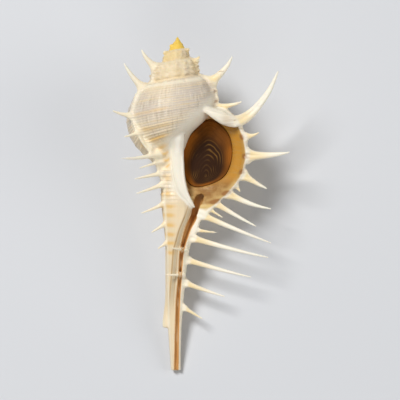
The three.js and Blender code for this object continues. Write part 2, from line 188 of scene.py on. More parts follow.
def nextShape(piece, points):
    bpy.ops.mesh.extrude_region_move(TRANSFORM_OT_translate={"value": (0, 0, 0)})
    bpy.ops.object.mode_set(mode="OBJECT")
    places = np.zeros(len(piece.data.vertices) * 3)
    piece.data.vertices.foreach_get("co", places)
    places[-3 * len(points):] = np.asarray(points, float).ravel()
    piece.data.vertices.foreach_set("co", places)
    bpy.ops.object.mode_set(mode="EDIT")


def endPiece(piece):
    bpy.ops.mesh.select_all(action="SELECT")
    bpy.ops.mesh.normals_make_consistent(inside=False)
    bpy.ops.object.mode_set(mode="OBJECT")
    return piece


def applied(piece, kind, **settings):
    pick(piece)
    modifier = piece.modifiers.new(kind.lower(), kind)
    for key, value in settings.items():
        setattr(modifier, key, value)
    bpy.ops.object.modifier_apply(modifier=modifier.name)


def joined(name, pieces):
    pick(*pieces)
    bpy.ops.object.join()
    whole = bpy.context.object
    whole.name = name
    bpy.ops.object.transform_apply(location=True, rotation=True, scale=True)
    return whole


def vertexPlaces(piece):
    places = np.zeros(len(piece.data.vertices) * 3)
    piece.data.vertices.foreach_get("co", places)
    return places.reshape(-1, 3)


def smoothThrough(rows, count, closed=False):
    # a smooth curve through rows of numbers
    p = np.array(rows, float)
    n = len(p)
    spans = n if closed else n - 1
    u = np.linspace(0, spans, count, endpoint=not closed)
    i = np.minimum(u.astype(int), spans - 1)
    t = (u - i)[:, None]

    def row(k):
        return p[k % n] if closed else p[np.clip(k, 0, n - 1)]

    a, b, c, d = row(i - 1), row(i), row(i + 1), row(i + 2)
    return 0.5 * (2 * b + (c - a) * t + (2 * a - 5 * b + 4 * c - d) * t**2 + (3 * b - a - 3 * c + d) * t**3)


def softStep(value, low, high):
    t = np.clip((value - low) / (high - low), 0.0, 1.0)
    return t * t * (3 - 2 * t)


# the whorls: one section turned and shrunk about the apex
whorl = {
    "outline": [(9.4, -20.6), (12.4, -21.1), (15.6, -22.4), (18.3, -25.1), (20.8, -30.3), (21.6, -35.0),
                (20.5, -41.0), (16.8, -46.2), (8.6, -53.0), (4.6, -61.0)],
    "inside": [(0.5, -55.0), (0.5, -36.0), (0.5, -24.0)],
    "suture": 21.0,
}
canal = {
    # height below the apex, half width, offset of the middle to the lip's side
    "stations": [(28, 2.2, -0.6), (36, 3.6, -1.4), (42, 3.8, -1.5), (46, 4.2, -0.8), (50, 4.9, 0.0),
                 (58, 4.4, 0.4), (66, 3.3, -0.1), (76, 2.65, -0.55), (88, 2.0, -0.8), (100, 1.45, -0.5)],
    "depth": 0.9,
}
outlineCurve = smoothThrough(whorl["outline"], 200)
canalCurve = smoothThrough(canal["stations"], 200)


def outlineDistance(below):
    # how far the surface lies from the axis at a height, at the lip's size
    lower = canalCurve[canalCurve[:, 0] > 61.0]
    heights = np.concatenate([-outlineCurve[:, 1], lower[:, 0]])
    distances = np.concatenate([outlineCurve[:, 0], lower[:, 1] + lower[:, 2]])
    return np.interp(below, heights, distances)


def canalReach(below, bearing):
    # how far the canal's surface lies from the axis
    half, offset = (np.interp(below, canalCurve[:, 0], canalCurve[:, k]) for k in (1, 2))
    return offset * math.cos(math.radians(bearing)) + half * 0.95


def varixAt(back):
    # 1 on a varix, falling to 0 between two
    within = np.mod(back, 360.0)
    away = [np.abs((within - v + 180.0) % 360.0 - 180.0) for v in growth["varixBacks"].values()]
    return np.exp(-((np.min(away, axis=0) / growth["varixHalfWidth"]) ** 2))


def swellAt(back):
    # the lip itself hardly swells
    return 1 + growth["varixSwell"] * varixAt(back) * (0.4 if back < 30.0 else 1.0)


def makeWhorls():
    section = list(smoothThrough(whorl["outline"], 54)) + whorl["inside"]
    points = [onBearing(growth["lipBearing"], r, z) for r, z in section]
    piece = startRing("whorls", points)
    step = 360.0 / growth["stepsPerWhorl"]
    for i in range(growth["turns"] * growth["stepsPerWhorl"]):
        back = i * step
        shrink = sizeAt(step)
        swell = swellAt(back + step) / swellAt(back)
        nextRing(turn=step, scale=(shrink * swell, shrink * swell, shrink))
    return endPiece(piece)


def makeTube(name, stations, sides):
    # ellipses stacked down the axis: middle, half width and half depth of each
    (middle, half, depth), *others = stations
    angles = np.linspace(0, 2 * np.pi, sides, endpoint=False)
    ring = [(middle[0] + half * math.cos(a), middle[1] + depth * math.sin(a), middle[2]) for a in angles]
    piece = startRing(name, ring)
    for place, nextHalf, nextDepth in others:
        move = Vector(place) - Vector(middle)
        nextRing(move=move, scale=(nextHalf / half, nextDepth / depth, 1.0), about=place)
        middle, half, depth = place, nextHalf, nextDepth
    return endPiece(piece)


def makeCanal():
    rows = smoothThrough(canal["stations"], 60)
    stations = [((off, 0.0, -below), half, half * canal["depth"]) for below, half, off in rows]
    return makeTube("canal", stations, 32)


# the dorsal varix on the canal: height below the apex, bearing, distance from the axis, half width
canalRidge = {
    "stations": [(40, 100, 6.0, 2.2), (48, 106, 3.6, 2.3), (58, 120, 3.0, 2.2), (68, 138, 2.7, 1.7),
                 (78, 158, 2.6, 1.3), (85, 172, 3.0, 1.5), (87.2, 175, 3.2, 1.3)],
}


def makeCanalRidge():
    rows = smoothThrough(canalRidge["stations"], 50)
    return makeTube("canalRidge", [(onBearing(bearing, distance, -below), half, half)
                                   for below, bearing, distance, half in rows], 20)


# the pillar down the axis: height below the apex, radius
columella = {
    "stations": [(-0.1, 0.2), (0.2, 0.45), (0.8, 0.55), (60.0, 2.7)],
}


def makeColumella():
    stations = [((0, 0, -below), radius, radius) for below, radius in columella["stations"]]
    return makeTube("columella", stations, 16)


# the thin crest of each varix, at the lip's size
crest = {
    "outline": [(9.5, -20.4), (14.0, -21.0), (17.4, -23.1), (20.3, -26.4), (21.9, -30.5), (22.5, -35.0),
                (20.9, -41.3), (16.9, -46.6), (9.3, -53.2), (5.2, -60.0)],
    # the left one is full down to the canal
    "leftOutline": [(9.5, -20.4), (14.0, -20.7), (17.8, -22.6), (20.4, -26.0), (21.9, -30.5), (22.6, -35.0),
                    (21.6, -41.3), (18.6, -47.4), (13.0, -53.6), (10.0, -59.5), (6.5, -67.0)],
    "inside": [(3.0, -58.0), (6.0, -40.0), (6.0, -25.0)],
    "half": 0.85,
    "onSpire": 1.05,  # how much fuller on the older whorls
    "bay": 1.0,  # depth of the lip's edge between two spines
    "whorls": 4,
}


def leftTurn(level):
    # the left varix turns to the front low on the body
    return np.interp(level, *np.array([(row[0], row[4]) for row in spines["leftRow"]]).T)


def rootBulge(below):
    # 1 at the root of a spine, 0 in the bays between
    return max(math.exp(-(((below - row[0]) / 1.1) ** 2)) for row in spines["row"])


def makeCrests():
    made = []
    for name, place in growth["varixBacks"].items():
        for turnBack in range(crest["whorls"]):
            outline = "leftOutline" if name == "left" and turnBack == 0 else "outline"
            flat = list(smoothThrough(crest[outline], 40)) + crest["inside"]
            back = turnBack * 360.0 + place
            size, bearing = sizeAt(back), growth["lipBearing"] + back
            wide = size * (crest["onSpire"] if turnBack else 1.0)
            aside = onBearing(bearing + 90.0, crest["half"] * size, 0.0)
            if back < 10.0:
                flat = [(r + crest["bay"] * (rootBulge(-z) - 0.6), z) for r, z in flat]
            turned = [bearing + (leftTurn(-z) if outline == "leftOutline" else 0.0) for r, z in flat]
            points = [onBearing(b, r * wide, z * size) - aside for b, (r, z) in zip(turned, flat)]
            piece = startRing("crest", points)
            nextRing(move=aside * 2)
            made.append(endPiece(piece))
    return made


# the aperture: its rim, the lid's seat behind it and the chamber that winds back
aperture = {
    "lid": [(10.1, -25.2), (15.2, -29.4), (16.2, -36.0), (13.5, -42.0), (5.8, -44.6), (2.5, -41.0),
            (2.4, -34.0), (5.4, -28.4)],
    "rim": [(10.0, -22.8), (18.0, -26.8), (20.7, -34.4), (18.6, -42.4), (9.5, -50.0), (2.8, -45.0),
            (2.0, -36.5), (5.0, -28.5)],
    "middle": (9.0, -35.0),
    "gap": 0.45,
    "lidBack": 11.0,
    # degrees behind the lip, from the rim (0) to the lid's seat (1), size
    "rings": [(-6, -0.42, 1.0), (-3, -0.2, 1.0), (0, 0.0, 1.0), (2.5, 0.3, 1.0), (5, 0.62, 1.0),
              (8, 1.0, 1.0), (20, 1.0, 1.0), (45, 1.0, 0.9), (80, 1.0, 0.78), (110, 1.0, 0.6)],
}


def throatLoop(inwards, gap, count=64):
    rim = np.array(aperture["rim"])
    lid = np.array(aperture["lid"])
    mixed = rim + (lid - rim) * inwards
    out = mixed - np.array(aperture["middle"])
    mixed = mixed + gap * out / np.linalg.norm(out, axis=1)[:, None]
    return smoothThrough(mixed, count, closed=True)


def makeChamber():
    rings = []
    for back, inwards, size in aperture["rings"]:
        loop = throatLoop(inwards, aperture["gap"])
        rings.append([onBearing(growth["lipBearing"] + back, r * size, z * size) for r, z in loop])
    piece = startRing("chamber", rings[0])
    for ring in rings[1:]:
        nextShape(piece, ring)
    return endPiece(piece)


# the slit that opens the canal: height below the apex, distance to the lip's side, half width, depth
slit = {
    "stations": [(46.6, 7.6, 0.9, 0.5), (47.6, 7.2, 1.6, 1.2), (49.0, 6.5, 1.75, 1.8), (51.0, 5.7, 1.4, 2.1),
                 (53.6, 4.9, 1.15, 2.0), (58, 3.05, 0.88, 1.8), (64, 1.35, 0.52, 1.7), (70, 0.9, 0.42, 1.5),
                 (76, 0.4, 0.48, 1.4), (81, 0.1, 0.5, 1.3), (92, -0.2, 0.5, 1.1), (101, -0.35, 0.6, 1.0)],
}


def canalFront(below, across):
    half = np.interp(below, canalCurve[:, 0], canalCurve[:, 1])
    offset = np.interp(below, canalCurve[:, 0], canalCurve[:, 2])
    off = (across - offset) / half
    return -half * canal["depth"] * math.sqrt(max(0.05, 1 - off * off))


def makeSlit():
    rows = smoothThrough(slit["stations"], 40)
    return makeTube("slit", [((across, canalFront(below, across), -below), half, deep)
                             for below, across, half, deep in rows], 16)


# the columellar lip: height below the apex, distance to the lip's side, distance towards the viewer,
# half width, half thickness
innerLip = {
    "stations": [(27.5, 0.9, 8.2, 0.7, 0.4), (30.5, 0.3, 6.9, 1.9, 0.9), (34.5, 0.0, 4.6, 2.0, 1.0),
                 (38.7, 0.2, 4.0, 1.9, 1.0), (42.9, 0.8, 3.9, 1.7, 1.0), (46.7, 1.9, 3.9, 1.5, 0.9),
                 (49.5, 3.7, 3.2, 1.0, 0.7), (51.2, 5.0, 2.6, 0.4, 0.4)],
}


def makeInnerLip():
    rows = smoothThrough(innerLip["stations"], 40)
    return makeTube("innerLip", [((across, -forward, -below), half, thick)
                                 for below, across, forward, half, thick in rows], 20)


# the upper end of the outer lip, which runs on along the suture: degrees behind the lip, distance of its
# outer edge from the axis, thickness
ledge = {
    "stations": [(10, 19.0, 2.2), (0, 18.6, 2.2), (-5, 17.2, 1.9), (-10, 15.7, 1.7), (-16, 14.2, 1.6),
                 (-22, 13.0, 1.4), (-29, 11.9, 1.1), (-36, 11.0, 0.6)],
}


def makeLedge():
    rings = []
    for back, outer, thick in ledge["stations"]:
        across = np.linspace(9.3, outer, 12)
        top = np.stack([across, np.interp(across, outlineCurve[:60, 0], outlineCurve[:60, 1]) - 0.15], 1)
        bottom = top[::-1] + np.array([-0.35, -1.0]) * thick
        bottom[0] = top[-1] + np.array([-0.1, -0.75]) * thick
        edge = np.concatenate([top, bottom])
        rings.append([onBearing(growth["lipBearing"] + back, r, z) for r, z in edge])
    piece = startRing("ledge", rings[0])
    for ring in rings[1:]:
        nextShape(piece, ring)
    return endPiece(piece)


# the lip's shoulder spine, a flat horn that starts on the ledge: bearing, distance from the axis, height
# below the apex, half width, half thickness
horn = {
    "stations": [(-52, 11.0, 21.9, 0.3, 0.25), (-44, 12.5, 22.7, 0.75, 0.45), (-37, 14.4, 23.9, 1.3, 0.75),
                 (-29, 16.6, 25.1, 1.75, 1.0), (-22, 19.3, 25.4, 1.8, 1.1), (-17, 22.3, 23.6, 1.5, 1.0),
                 (-16, 25.6, 20.2, 1.15, 0.85), (-16, 28.7, 15.9, 0.8, 0.65), (-16, 31.2, 10.6, 0.3, 0.3)],
    "sides": 20,
    "groove": 0.55,
    "grooveWidth": 0.22,  # radians round the section
}


def makeHorn():
    rows = smoothThrough(horn["stations"], 40)
    line = [onBearing(bearing, distance, -below) for bearing, distance, below, half, thick in rows]
    angles = np.linspace(0, 2 * np.pi, horn["sides"], endpoint=False)
    rings = []
    for i, (bearing, distance, below, half, thick) in enumerate(rows):
        along = (line[min(i + 1, len(line) - 1)] - line[max(i - 1, 0)]).normalized()
        over = onBearing(bearing - 90.0, 1, 0).cross(along).normalized()
        facing = along.cross(over).normalized()
        grooved = horn["groove"] * softStep(i, 14, 22) * softStep(i, 39, 32)
        cut = grooved * np.exp(-(((angles - math.pi / 2) / horn["grooveWidth"]) ** 2))
        across, depth = half * np.cos(angles), thick * np.sin(angles) * (1 - cut)
        rings.append([line[i] + over * w + facing * d for w, d in zip(across, depth)])
    piece = startRing("horn", rings[0])
    for ring in rings[1:]:
        nextShape(piece, ring)
    return endPiece(piece)


# the spines of one varix at the lip's size: height of the root, tip's distance and height, curl, width at
# the root
spines = {
    "row": [(25.6, (31.8, 10.6), 20.5, 4.0), (30.2, (25.6, 28.9), 20, 1.7), (35.9, (35.1, 34.9), 8, 3.2),
            (41.8, (28.1, 45.9), 5, 2.4), (45.0, (19.7, 46.9), 0, 1.1), (47.3, (29.5, 51.9), 12, 2.3),
            (50.2, (24.7, 57.2), 3, 1.9), (51.9, (14.4, 54.6), 3, 1.1), (53.9, (29.4, 62.2), 2, 2.0),
            (58.2, (12.6, 59.0), 6, 1.2), (60.7, (28.6, 66.5), 3, 2.0), (67.3, (23.2, 72.4), 3, 1.9),
            (74.2, (15.0, 78.3), 3, 1.8), (81.6, (8.0, 85.2), -3, 1.4)],
    # what stands clear of the next whorl on the spire
    "spireRow": [(25.5, (31.9, 10.7), 21, 4.2), (39.3, (37.7, 36.2), 14, 3.2)],
    # the last whorl's left varix, whose row reaches further down the canal
    # and turns to the front on the way
    "leftRow": [(22.8, (25.8, 11.9), 13, 3.2, 0), (34.9, (31.4, 32.7), 12, 2.1, 0),
                (42.4, (27.9, 44.3), 6, 1.7, 8), (51.5, (30.6, 53.6), 10, 2.2, 12),
                (54.6, (20.6, 58.0), 0, 1.7, 10), (59.9, (22.1, 62.7), 0, 2.0, 6),
                (64.9, (20.5, 69.0), 3, 1.9, 3), (73.7, (18.1, 77.8), 3, 1.7, 0),
                (82.4, (12.9, 86.2), 0, 1.6, 0), (90.6, (9.8, 93.4), 0, 1.4, 0)],
    # two small ones that lean across the slit: height of the root, tip to the lip's side, forward and below,
    # width at the root
    "overSlit": [(64.0, (-1.7, 7.0, 63.2), 1.4), (71.2, (-3.4, 5.0, 71.3), 1.3)],
    "tipRadius": 0.3,
    # what is left of each spine, whorl by whorl from the last: a row's last number holds for its rest
    "leftOver": {"lip": [(1.0,), (1.0,), (0.38, 0.0), (0.3, 0.0)],
                 "dorsal": [(0.85, 0.5, 0.1, 0.1, 0.28), (0.85, 0.6), (0.5, 0.0), (0.3, 0.0)],
                 "left": [(1.0,), (1.03, 0.6), (0.3, 0.0), (0.3, 0.0)]},
    "flare": 0.8,  # how much a root widens along its varix
    "flareLength": 0.65,
    "buried": 0.8,  # how far a root goes in, past its own radius
    "sides": 16,
}


def makeSpine(arc, across, rootRadius, grooved):
    # rings along the arc, wide at the root along the varix, with a groove on the side that faces the growth
    root, middle, tip = arc
    chord = (tip - root).normalized()
    over = chord.cross(across).normalized()
    side = over.cross(chord).normalized()
    reach = (tip - root).length
    fractions = [0.0, 0.02, 0.05, 0.09, 0.14, 0.2, 0.28, 0.38, 0.5, 0.62, 0.74, 0.85, 0.94, 1.0]
    centres, widths, depths = [], [], []
    for f in fractions:
        centres.append(root * (1 - f) ** 2 + middle * 2 * f * (1 - f) + tip * f * f)
        shaft = spines["tipRadius"] + (rootRadius - spines["tipRadius"]) * (1 - f) ** 0.9
        clear = max(0.0, f * reach - rootRadius - spines["buried"])
        flare = spines["flare"] * rootRadius * math.exp(-clear / spines["flareLength"])
        widths.append(shaft + flare)
        depths.append(shaft * 0.92 + flare * 0.35)
    angles = np.linspace(0, 2 * np.pi, spines["sides"], endpoint=False)
    ring = [Vector((depths[0] * math.cos(a), widths[0] * math.sin(a), 0)) for a in angles]
    piece = startRing("spine", ring)
    flat = Matrix((side, over, chord))
    places = [flat @ (c - root) for c in centres]
    for i in range(1, len(fractions)):
        nextRing(move=places[i] - places[i - 1],
                 scale=(depths[i] / depths[i - 1], widths[i] / widths[i - 1], 1.0), about=places[i])
    endPiece(piece)
    if grooved:
        shape = vertexPlaces(piece).reshape(len(fractions), spines["sides"], 3)
        for i, f in enumerate(fractions):
            shape[i, 0, 0] -= depths[i] * 0.75 * max(0.0, 1 - f / 0.8)
        piece.data.vertices.foreach_set("co", shape.ravel())
    piece.matrix_world = Matrix.Translation(root) @ flat.transposed().to_4x4()
    return piece


def makeVarixSpine(row, back, worn, grooved):
    below, tip, curl, width, *turned = row
    size = sizeAt(back)
    bearing = growth["lipBearing"] + back + sum(turned)
    distance = float(outlineDistance(below)) * (1 + growth["varixSwell"] * 0.5)
    if 200.0 < back < 250.0:
        distance = max(distance, canalReach(below * size, bearing) / size)
    run = Vector((tip[0] - distance, below - tip[1])) * size * worn
    reach, rise = run.length, math.atan2(run.y, run.x)
    root = onBearing(bearing, distance * size, -below * size)
    outwards, up = onBearing(bearing, 1, 0), Vector((0, 0, 1))
    leaving = rise - math.radians(curl)
    along = outwards * math.cos(leaving) + up * math.sin(leaving)
    rootRadius = 0.5 * width * math.sqrt(size * worn)
    buried = min(rootRadius + spines["buried"], distance * size * 0.6)
    arc = (root - along * buried, root + along * (reach / (2 * math.cos(math.radians(curl)))),
           root + (outwards * math.cos(rise) + up * math.sin(rise)) * reach)
    growing = onBearing(bearing - 90.0, 1, 0)
    return makeSpine(arc, growing, rootRadius, grooved)


def makeSpines():
    made = []
    for name, place in growth["varixBacks"].items():
        for turnBack, remains in enumerate(spines["leftOver"][name]):
            back = turnBack * 360.0 + place
            row = "spireRow" if turnBack else "leftRow" if name == "left" else "row"
            for k, spine in enumerate(spines[row]):
                worn = remains[min(k, len(remains) - 1)]
                if worn and (back > 10 or k > 0):
                    made.append(makeVarixSpine(spine, back, worn, back < 10))
    return made


def makeSlitSpines():
    made = []
    for below, tip, width in spines["overSlit"]:
        root = Vector((float(outlineDistance(below)) * 0.75, -1.2, -below))
        end = Vector((tip[0], -tip[1], -tip[2]))
        middle = root.lerp(end, 0.5) + Vector((0.8, -0.8, 0))
        made.append(makeSpine((root, middle, end), Vector((0, 0, 1)), width / 2, False))
    return made


# the skin's voxels before and after the cuts, and its triangles after thinning, in pairs
surface = {
    "coarse": 0.28,
    "fine": 0.29,
    "faces": 96000,
}


def treeOf(piece):
    corners = [v.co for v in piece.data.vertices]
    return BVHTree.FromPolygons(corners, [p.vertices for p in piece.data.polygons])


whorls = makeWhorls()
print("murex: whorls", len(whorls.data.vertices))
shell = joined("shellSkin", [whorls, makeCanal(), makeCanalRidge(), makeColumella(), makeLedge()]
               + makeCrests() + makeSpines())
print("murex: spines joined", len(shell.data.polygons))
applied(shell, "REMESH", mode="VOXEL", voxel_size=surface["coarse"])
print("murex: body", len(shell.data.polygons))
chamber = makeChamber()
slitTool = makeSlit()
for tool in (chamber, slitTool):
    applied(shell, "BOOLEAN", operation="DIFFERENCE", object=tool, solver="MANIFOLD")
print("murex: aperture and slit cut", len(shell.data.polygons))
lipBand = makeInnerLip()
lipTree, chamberTree, slitTree = treeOf(lipBand), treeOf(chamber), treeOf(slitTool)
shell = joined("shellSkin", [shell, lipBand, makeHorn()] + makeSlitSpines())
applied(shell, "REMESH", mode="VOXEL", voxel_size=surface["fine"])
print("murex: one skin", len(shell.data.polygons))
for tool in (chamber, slitTool):
    bpy.data.objects.remove(tool)


# where each point of the skin lies on the spiral
def spiralPlaces(places):
    x, y, below = places[:, 0], places[:, 1], -places[:, 2]
    distance = np.hypot(x, y)
    ahead = np.mod(np.degrees(np.arctan2(y, x)) - growth["lipBearing"], 360.0)
    # the lip's face and ledge stand a little in front of the lip, over the older whorl
    older = distance - outlineDistance(below / sizeAt(ahead)) * sizeAt(ahead)
    ahead = np.where((ahead > 320.0) & (older > 1.0) & (below > 19.0), ahead - 360.0, ahead)
    back = ahead.copy()
    for k in range(growth["turns"]):
        above = below / sizeAt(back) < whorl["suture"]
        back = np.where(above, back + 360.0, back)
    size = sizeAt(back)
    level = below / size
    reach = distance - outlineDistance(level) * size
    # the canal keeps one size
    half, offset = (np.interp(below, canalCurve[:, 0], canalCurve[:, k]) for k in (1, 2))
    offCanal = np.hypot(x - offset, y / canal["depth"]) - half
    onCanal = (below > 40.0) & (offCanal < reach)
    level = np.where(onCanal, below, level)
    reach = np.where(onCanal, offCanal, reach)
    return back, level, size, reach


def awayFrom(tree, places):
    return np.array([tree.find_nearest(Vector(p))[3] for p in places])


relief = {
    "threadPitch": 1.15,
    "thread": 0.06,
    "cord": 0.16,
    "cordWidth": 0.45,
    "knob": 0.62,
    "knobsPerWhorl": 15,
    "knobRows": [(25.2, 1.7), (30.2, 1.3), (35.0, 1.5)],  # level, width
    "frill": 0.8,
    "frillLevel": 22.0,
    "frillWidth": 0.7,
    "growthLine": 0.07,
    "bead": 0.22,
    "beadPitch": 2.3,
    # off the slit, width, height
    "canalFolds": [(-1.5, 0.30, -0.22), (-0.85, 0.55, 0.16), (-2.4, 0.30, -0.18), (-3.2, 0.5, 0.12)],
}


def hump(value, middle, width):
    return np.exp(-(((value - middle) / width) ** 2))


def regionsOf(piece):
    # the parts of the skin by name, each from 0 to 1, and the spiral places of its points
    places = vertexPlaces(piece)
    normals = np.zeros(len(places) * 3)
    piece.data.vertices.foreach_get("normal", normals)
    normals = normals.reshape(-1, 3)
    back, level, size, reach = spiralPlaces(places)
    x, y, below = places[:, 0], places[:, 1], -places[:, 2]
    bearing = np.degrees(np.arctan2(y, x))
    behind = (bearing - growth["lipBearing"] + 180.0) % 360.0 - 180.0
    offChamber = awayFrom(chamberTree, places)
    onFront = softStep(bearing, -135.0, -105.0) * softStep(bearing, -20.0, -32.0)
    angle = np.radians(bearing)
    growing = np.stack([np.sin(angle), -np.cos(angle), np.zeros(len(angle))], 1)
    slitAcross = np.interp(below, *np.array(slit["stations"])[:, :2].T)
    return {
        "places": places, "normals": normals, "back": back, "level": level, "size": size, "reach": reach,
        "behind": behind,
        "varix": varixAt(np.where((back > 180.0) & (back < 300.0), back - leftTurn(level), back)),
        "throat": softStep(offChamber, 0.45, 0.12),
        "glaze": softStep((x + 1.65) * 0.68 + (below - 28.2) * 0.733, -1.2, 2.0) * onFront
        * softStep(below, 50.0, 44.0) * softStep(x, 15.0, 12.0),
        "band": softStep(awayFrom(lipTree, places), 0.8, 0.3),
        "slit": softStep(awayFrom(slitTree, places), 0.30, 0.08),
        "offSlit": x - slitAcross,
        "canalFront": softStep(below, 48.0, 54.0) * softStep(y, 0.4, -0.4),
        "face": np.sum(normals * growing, axis=1),
    }


def raiseRelief(piece):
    r = regionsOf(piece)
    back, level, size, reach = r["back"], r["level"], r["size"], r["reach"]
    plain = (1 - r["throat"]) * (1 - r["band"]) * (1 - r["slit"]) * (1 - r["glaze"])
    nearLip = softStep(back, 14.0, 7.0)
    skin = plain * (1 - softStep(reach, 0.9, 2.0)) * (1 - nearLip)
    older = softStep(back, 290.0, 420.0)
    onWhorl = softStep(level, 54.0, 46.0)
    lift = relief["thread"] * np.cos(2 * np.pi * level / relief["threadPitch"]) * onWhorl
    for cordLevel in [row[0] for row in spines["row"]]:
        lift += relief["cord"] * hump(level, cordLevel, relief["cordWidth"]) * size ** 0.5 * onWhorl
    # uneven knobs between the varices, stronger on the spire, and a frilled suture
    uneven = np.array([noise.noise(Vector((b * 0.11, 0.0, 7.0))) for b in back])
    beat = 0.5 + 0.5 * np.cos(np.radians(back * relief["knobsPerWhorl"]) + 1.5 * uneven)
    knob = relief["knob"] * (0.2 + 1.8 * older) * size * beat * (1 + 0.5 * uneven)
    for knobLevel, wide in relief["knobRows"]:
        lift += knob * hump(level, knobLevel, wide)
    frill = relief["frill"] * (0.35 + 0.9 * uneven) * size
    lift += frill * hump(level, relief["frillLevel"], relief["frillWidth"]) * onWhorl
    growthLines = np.array([noise.noise(Vector((b * 0.35, l * 0.10, 0.0))) for b, l in zip(back, level)])
    lift += relief["growthLine"] * growthLines * onWhorl
    # beads on the varices and down the dorsal side of the canal
    beads = relief["bead"] * np.cos(2 * np.pi * level / relief["beadPitch"]) * size
    onBack = softStep(back, 60.0, 90.0) * softStep(back, 200.0, 170.0) + 0.5 * softStep(back, 380.0, 440.0)
    lift += beads * r["varix"] * onBack * softStep(level, 90.0, 86.0)
    # folds beside the slit
    folded = r["canalFront"] * softStep(level, 82.0, 70.0)
    for off, wide, high in relief["canalFolds"]:
        lift += high * hump(r["offSlit"], off, wide) * folded
    places = r["places"] + r["normals"] * (lift * skin)[:, None]
    piece.data.vertices.foreach_set("co", places.ravel())
    piece.data.update()


applied(shell, "SMOOTH", factor=0.5, iterations=2)
raiseRelief(shell)
triangles = sum(len(p.vertices) - 2 for p in shell.data.polygons)
if triangles > 2 * surface["faces"]:
    applied(shell, "DECIMATE", decimate_type="COLLAPSE", ratio=2 * surface["faces"] / triangles)
print("murex: skin finished", len(shell.data.polygons))


def setAttribute(piece, name, values):
    layer = piece.data.attributes.new(name, "FLOAT", "POINT")
    layer.data.foreach_set("value", np.asarray(values, np.float32))


def nameRegions(piece):
    regions = regionsOf(piece)
    regions["back"] = regions["back"] / 360.0
    for name in ("back", "level", "reach", "behind", "varix", "throat", "glaze", "band", "slit", "offSlit",
                 "canalFront", "face"):
        setAttribute(piece, name, regions[name])


nameRegions(shell)
print("murex: regions named")

# the lid: its outline drawn in towards the nucleus in growth lines
lid = {
    "nucleus": (8.6, -42.0),
    "grown": 0.33,  # nearly fills its seat
    "rings": 14,
    "thickness": 1.0,
    "step": 0.08,
}


def makeLid():
    bearing = growth["lipBearing"] + aperture["lidBack"]
    loop = throatLoop(1.0, lid["grown"], 72)
    facing = onBearing(bearing - 90.0, 1, 0)
    nucleus = onBearing(bearing, *lid["nucleus"]) + facing * lid["thickness"] * 0.5
    front = [onBearing(bearing, r, z) + facing * lid["thickness"] * 0.5 for r, z in loop]
    rear = [p - facing * lid["thickness"] for p in front]
    piece = startRing("lidSkin", rear)
    nextRing(move=facing * lid["thickness"])
    size = 1.0
    ringOf = [0.0, 0.0]
    for k in range(1, lid["rings"] + 1):
        share = 1.0 - k / (lid["rings"] + 0.6)
        q = share / size
        rise = lid["step"] * (0.9 if k == 1 else (0.5 if k % 2 else -0.5))
        nextRing(move=facing * (-rise if k > 1 else -rise * 0.6), scale=(q, q, q), about=nucleus)
        size = share
        ringOf.append(1.0 - share)
    endPiece(piece)
    setAttribute(piece, "ring", np.repeat(ringOf, len(loop)))
    applied(piece, "BEVEL", width=0.18, segments=2, limit_method="ANGLE", angle_limit=math.radians(50))
    applied(piece, "SUBSURF", levels=1, render_levels=1)
    return piece


lidPiece = makeLid()
print("murex: lid", len(lidPiece.data.polygons))


# paint: one small class so that shader sums read as sums
class Val:
    def __init__(self, paint, socket):
        self.paint = paint
        self.socket = socket

    def sum(self, operation, *others):
        return self.paint.node("ShaderNodeMath", {"operation": operation}, self, *others)

    def __add__(self, other):
        return self.sum("ADD", other)

    __radd__ = __add__

    def __mul__(self, other):
        return self.sum("MULTIPLY", other)

    __rmul__ = __mul__

    def __sub__(self, other):
        return self.sum("SUBTRACT", other)

    def __rsub__(self, other):
        return self.paint.node("ShaderNodeMath", {"operation": "SUBTRACT"}, other, self)

    def sin(self):
        return self.sum("SINE")

    def atMost(self, other):
        return self.sum("MINIMUM", other)

    def absolute(self):
        return self.sum("ABSOLUTE")

    def between(self, low, high):
        # 0 below low, 1 above high, smooth in between
        settings = {"interpolation_type": "SMOOTHSTEP"}
        return self.paint.node("ShaderNodeMapRange", settings, self, low, high, 0.0, 1.0)

    def near(self, place, width):
        # 1 at a place, 0 further off than the width
        return 1.0 - (self - place).absolute().between(0.0, width)


class Paint:
    def __init__(self, name):
        self.material = bpy.data.materials.new(name)
        self.material.use_nodes = True
        self.tree = self.material.node_tree
        self.shader = self.tree.nodes["Principled BSDF"]

    def node(self, kind, settings, *inputs, out=0):
        made = self.tree.nodes.new(kind)
        for key, value in settings.items():
            setattr(made, key, value)
        for i, value in enumerate(inputs):
            if value is not None:
                self.feed(made.inputs[i], value)
        return Val(self, made.outputs[out])

    def feed(self, socket, value):
        if isinstance(value, Val):
            self.tree.links.new(value.socket, socket)
        else:
            socket.default_value = value

    def attribute(self, name):
        return self.node("ShaderNodeAttribute", {"attribute_name": name}, out=2)

    def place(self):
        return self.node("ShaderNodeTexCoord", {}, out=3)

    def speckle(self, place, scale, detail):
        return self.node("ShaderNodeTexNoise", {}, place, None, scale, detail, 0.55)

    def joinedPlace(self, x, y, z):
        return self.node("ShaderNodeCombineXYZ", {}, x, y, z)

    def mix(self, under, over, share):
        made = self.node("ShaderNodeMix", {"data_type": "RGBA"}, share, out=2)
        self.feed(made.socket.node.inputs[6], under)
        self.feed(made.socket.node.inputs[7], over)
        return made

    def raiseBy(self, height, strength, distance):
        bump = self.node("ShaderNodeBump", {})
        inputs = bump.socket.node.inputs
        inputs["Strength"].default_value = strength
        inputs["Distance"].default_value = distance
        self.feed(inputs["Height"], height)
        self.feed(self.shader.inputs["Normal"], bump)


def tint(r, g, b):
    # a colour as it looks on a screen, 0 to 255
    return tuple((c / 255 / 12.92) if c / 255 <= 0.04045 else ((c / 255 + 0.055) / 1.055) ** 2.4
                 for c in (r, g, b)) + (1.0,)


